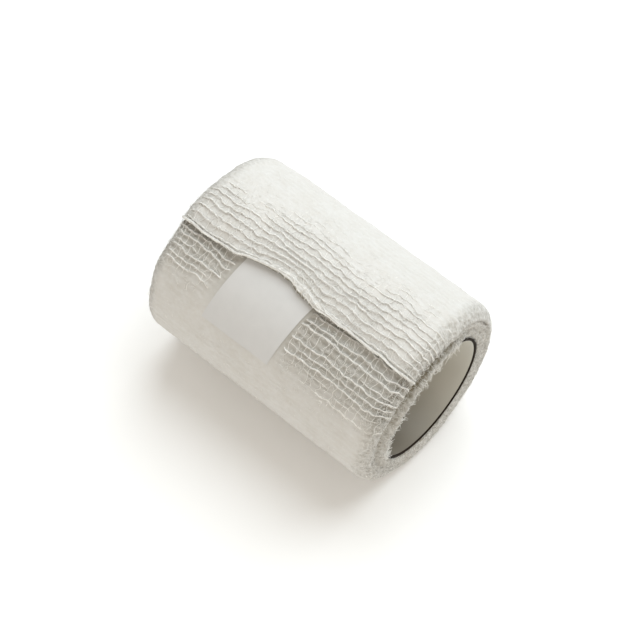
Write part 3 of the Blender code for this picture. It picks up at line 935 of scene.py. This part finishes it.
# The ends of the roll: edges of the turns, brushed loose. Kinked yarn ends hang over the mouth of the
# tube where the winding stands proud of it, and a short fuzz covers the faces and the rims.
# Loose ends as (side, from angle, to angle, count, from radius, to radius, length, inward lean).
FRAYS = (
    (1, -38.0, 22.0, 260, 0.0187, 0.0203, 0.003, 0.75),
    (1, 10.0, 112.0, 900, 0.0181, 0.0203, 0.0019, 0.55),
    (1, 112.0, 322.0, 200, 0.019, 0.024, 0.0009, 0.1),
    (-1, 0.0, 360.0, 460, 0.019, 0.0245, 0.0016, 0.3),
)
FRAY_STEPS = 7
ENDS = ((1, "open_end", 11000), (-1, "far_end", 4200))  # (side, name, fibres of fuzz)
FUZZ_LENGTH = (0.00025, 0.00065)
FUZZ_ACROSS, FUZZ_SPREAD = 0.0388, 0.0026  # its middle, past the strip's centre line, and its spread
FUZZ_RADIUS = 0.000042
FRAY_RADII = (0.00005, 0.00012)
LEAST_HEIGHT = REST_HEIGHT * 3


def loose_end(random, side, angle, radius, length, lean):
    """A kinked wisp that starts in an end face and turns in towards the tube."""
    across = side * (ROUNDED + max(0.0, spiral_radius(angle) - SHOULDER - radius))
    root = on_cloth(np.array([angle]), np.array([across]), np.array([-0.0003]))[0]
    turned = math.radians(angle)
    inward = np.array((0.0, math.sin(turned), -math.cos(turned)))
    round_way = np.array((0.0, -math.cos(turned), -math.sin(turned)))
    out = np.array((side * 1.0, 0.0, 0.0))
    heading = out * random.uniform(0.3, 1.0) + inward * lean * random.uniform(0.2, 1.5)
    heading = heading + round_way * random.uniform(-0.8, 0.8)
    pull = inward * lean + round_way * random.uniform(-1.0, 1.0) - out * random.uniform(0.0, 0.8)
    points = [root]
    for _ in range(FRAY_STEPS):
        kink = random.normal(0.0, 0.5, 3)
        heading = heading / np.linalg.norm(heading) + (pull + kink) * 0.45
        points.append(points[-1] + heading / np.linalg.norm(heading) * length / FRAY_STEPS)
    points = np.array(points)
    points[:, 2] = np.maximum(points[:, 2], LEAST_HEIGHT)
    thick = random.uniform(*FRAY_RADII)
    return points, np.tile(round_way, (len(points), 1)), np.linspace(thick, 0.4 * thick, len(points))


def fuzz_fibre(root, up, sideways, length, bend):
    heading = up + sideways
    middle = root + heading * length * 0.5
    tip = middle + (heading + bend) * length * 0.5
    return np.stack((root - up * 0.0001, middle, tip)), np.stack((sideways, sideways, sideways))


fray_random = np.random.default_rng(23)
fuzz_radii = np.array((1.0, 0.9, 0.4)) * FUZZ_RADIUS
for side, name, fuzz_count in ENDS:
    wisps = []
    for face, start, stop, count, inner, outer, length, lean in FRAYS:
        if face != side:
            continue
        for _ in range(count):
            angle = fray_random.uniform(start, stop)
            radius = fray_random.uniform(inner, outer)
            size = length * fray_random.uniform(0.4, 1.35)
            wisps.append(loose_end(fray_random, side, angle, radius, size, lean))
    yarn_piece("frayed_" + name, wisps)
    angles = fray_random.uniform(-75.0, 285.0, fuzz_count)
    across = side * fray_random.normal(FUZZ_ACROSS, FUZZ_SPREAD, fuzz_count)
    roots = on_cloth(angles, across, -0.0001 + 0 * angles)
    tops = on_cloth(angles, across, 0.0005 + 0 * angles)
    ups = unit(tops - roots, 1e-9)
    fuzz = []
    for root, up in zip(roots, ups):
        length = fray_random.uniform(*FUZZ_LENGTH)
        bend = fray_random.normal(0.0, 0.7, 3) - up * 0.5
        points, sideways = fuzz_fibre(root, up * 0.3, fray_random.normal(0.0, 0.6, 3), length, bend)
        points[:, 2] = np.maximum(points[:, 2], LEAST_HEIGHT)
        fuzz.append((points, sideways, fuzz_radii))
    yarn_piece("fuzz_" + name, fuzz)

# Lint: short cotton fibres that have worked loose from the yarns. They stand on the yarns or lie along
# them, mostly where the weave is open, and are held by nothing but their tangle.
LINT_COUNT = 21000
LINT_LENGTH = (0.0005, 0.0019)
LINT_RADII = (0.000026, 0.000062)
LINT_POINTS = 4
LINT_SINK = 0.00022
LINT_ON_WEFTS, LINT_STRAYS = 0.65, 0.08  # the share that follows a weft, and how far off its yarn one lies
LINT_WHERE_OPEN = (-0.12, 0.95)  # least openness for a fibre, somewhere in this range


def lint_fibre(random):
    row, column = random.uniform(FIRST_ROW, WEFTS_IN_TURN), random.uniform(-23.0, 23.0)
    if random.random() < LINT_ON_WEFTS:
        row = round(row) + random.normal(0.0, LINT_STRAYS)
    else:
        column = round(column) + random.normal(0.0, LINT_STRAYS)
    length = random.uniform(*LINT_LENGTH)
    way, turn = random.uniform(0.0, math.tau), random.normal(0.0, 1.4)
    share = np.linspace(0.0, 1.0, LINT_POINTS)
    bearing = way + turn * share
    rows = row + np.cumsum(np.cos(bearing)) * length / LINT_POINTS / WEFT_PITCH
    columns = column + np.cumsum(np.sin(bearing)) * length / LINT_POINTS / WARP_PITCH
    rise = random.uniform(0.0, 0.00045)
    arch = np.sin(math.pi * share * random.uniform(0.4, 1.0))
    height = 0.0001 + rise * arch + random.uniform(-0.0002, 0.00015)
    return np.clip(rows, FIRST_ROW, WEFTS_IN_TURN - 0.1), columns, height


lint_random = np.random.default_rng(31)
fibres = [lint_fibre(lint_random) for _ in range(LINT_COUNT)]
rows, columns, heights = (np.concatenate(part) for part in zip(*fibres))
lint_angle, lint_across = row_angle(rows), column_across(columns)
lint_open = openness(lint_angle, lint_across) - pressed(lint_angle, lint_across)
points, ups = with_ups(rows, columns, heights - LINT_SINK * (1 - lint_open))
lint_taper = np.linspace(1.0, 0.5, LINT_POINTS)
lint_paths = []
for start in range(0, len(points), LINT_POINTS):
    fibre = slice(start, start + LINT_POINTS)
    if lint_open[fibre].min() > lint_random.uniform(*LINT_WHERE_OPEN):
        lint_paths.append((points[fibre], ups[fibre], lint_taper * lint_random.uniform(*LINT_RADII)))
yarn_piece("lint", lint_paths)

# The studio: a plain white sweep, a broad soft lamp up behind the roll, and a weak one in front of it.
# The camera looks down on the roll's side and into the open end of its tube.
VIEW_AZIMUTH, VIEW_ELEVATION = 40.33, 60.5
VIEW_DISTANCE = 0.5975
LENS = 129.5  # millimetres, on a sensor 36 wide
FRAME_SHIFT = (0.0008, -0.0047)
FLOOR_RADIUS, FLOOR_SIDES, FLOOR_HEIGHT = 3.0, 64, -0.00005
SKY_COLOUR, SKY_STRENGTH = (1.0, 0.955, 0.88, 1.0), 0.54
# Lamps as (name, place, colour, size, power).
LAMPS = (
    ("key_lamp", (-0.02, 0.5, 0.86), (0.895, 0.96, 1.0), 1.1, 10.4),
    ("fill_lamp", (0.5, -0.72, 0.54), (1.0, 0.89, 0.75), 0.45, 2.1),
)


def aimed(thing, place, target):
    thing.location = place
    thing.rotation_mode = "QUATERNION"
    thing.rotation_quaternion = (Vector(target) - Vector(place)).to_track_quat("-Z", "Y")
    bpy.context.scene.collection.objects.link(thing)


azimuth, elevation = math.radians(VIEW_AZIMUTH), math.radians(VIEW_ELEVATION)
towards_camera = Vector((
    math.sin(azimuth) * math.cos(elevation),
    -math.cos(azimuth) * math.cos(elevation),
    math.sin(elevation),
))
camera = bpy.data.objects.new("camera", bpy.data.cameras.new("camera"))
camera.data.lens = LENS
camera.data.shift_x, camera.data.shift_y = FRAME_SHIFT
axis_point = Vector((0.0, 0.0, AXIS_HEIGHT))
aimed(camera, axis_point + towards_camera * VIEW_DISTANCE, axis_point)
bpy.context.scene.camera = camera

for name, place, colour, size, power in LAMPS:
    lamp = bpy.data.objects.new(name, bpy.data.lights.new(name, "AREA"))
    lamp.data.shape = "DISK"
    lamp.data.size = size
    lamp.data.energy = power
    lamp.data.color = colour
    aimed(lamp, place, axis_point)

world = bpy.data.worlds.new("studio_sky")
world.use_nodes = True
world.node_tree.nodes["Background"].inputs["Color"].default_value = SKY_COLOUR
world.node_tree.nodes["Background"].inputs["Strength"].default_value = SKY_STRENGTH
bpy.context.scene.world = world
bpy.context.scene.view_settings.view_transform = "Standard"

sweep = bpy.data.meshes.new("floor")
rim_turns = [step * math.tau / FLOOR_SIDES for step in range(FLOOR_SIDES)]
rim = [(FLOOR_RADIUS * math.cos(turn), FLOOR_RADIUS * math.sin(turn), 0.0) for turn in rim_turns]
sweep.from_pydata(rim, [], [range(FLOOR_SIDES)])
floor = bpy.data.objects.new("floor", sweep)
floor.location.z = FLOOR_HEIGHT
floor.data.materials.append(Finish("white_sweep", Base_Color=(0.96, 0.96, 0.96, 1.0), Roughness=0.9).material)
bpy.context.scene.collection.objects.link(floor)
